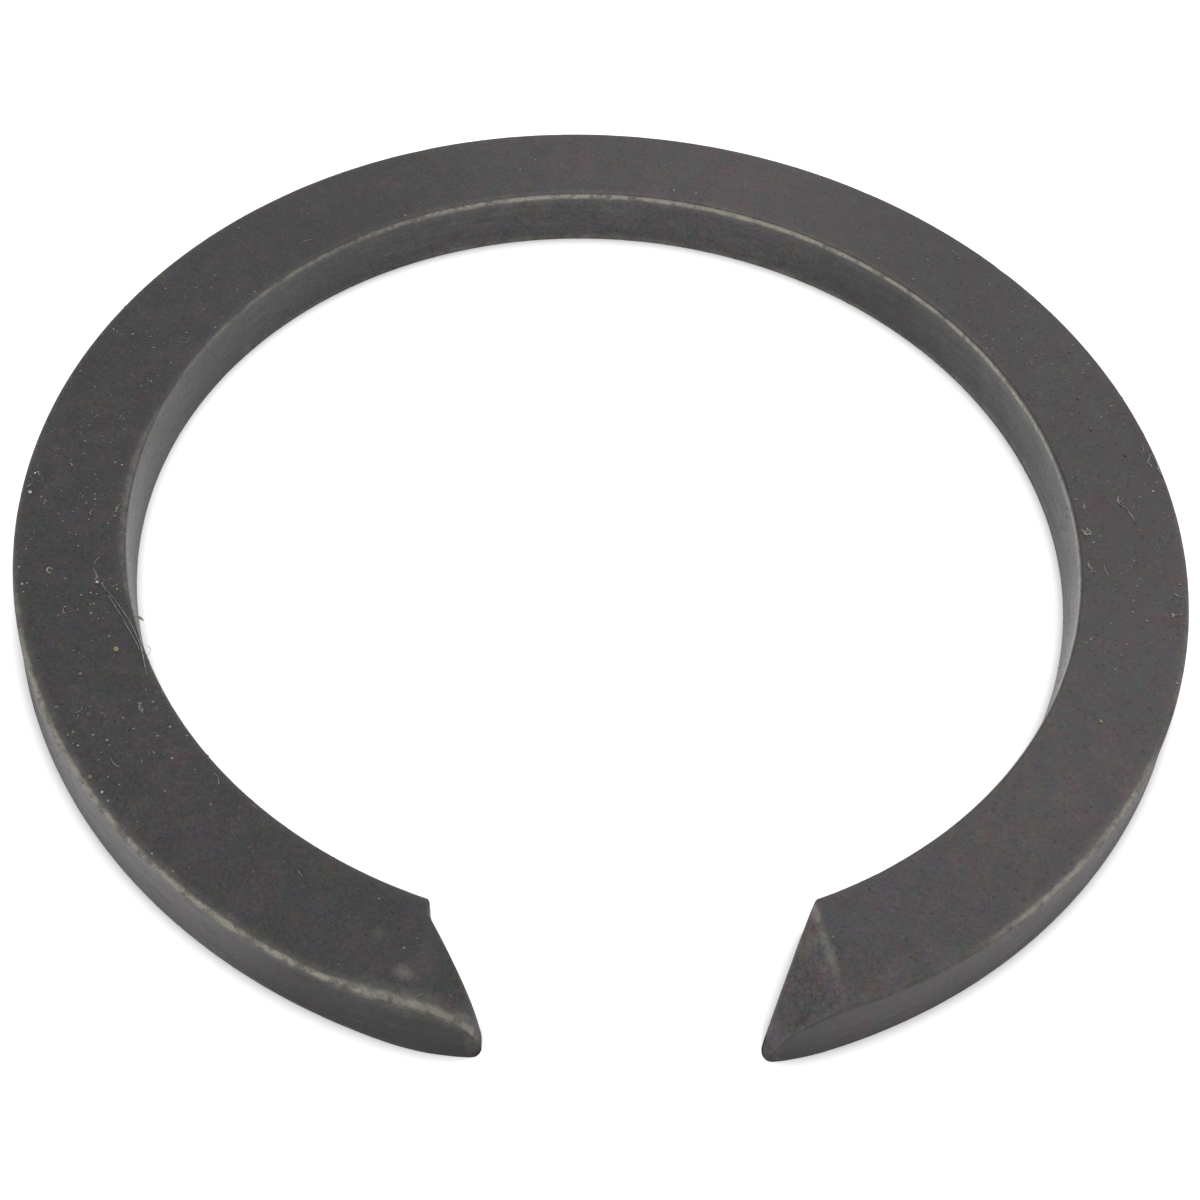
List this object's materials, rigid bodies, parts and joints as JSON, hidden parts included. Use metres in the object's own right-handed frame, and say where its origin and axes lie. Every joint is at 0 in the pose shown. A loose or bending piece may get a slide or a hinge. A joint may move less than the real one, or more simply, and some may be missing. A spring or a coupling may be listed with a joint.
{
  "type": "retaining ring",
  "caption": "Open spring steel retaining ring of flat rectangular section, with a dovetail gap and bevelled tapered ends.",
  "frame": {"origin": "on the ring's axis, in the plane of its underside", "axes": "+Z along the ring's axis, out of the bevelled top face; the gap opens along -Y; +X across the gap"},
  "size_m": [0.043, 0.0424, 0.0024],
  "materials": {
    "blackened_steel": "matte black oxide"
  },
  "bodies": {
    "root": {"retaining_ring": "blackened_steel"}
  },
  "joints": []
}
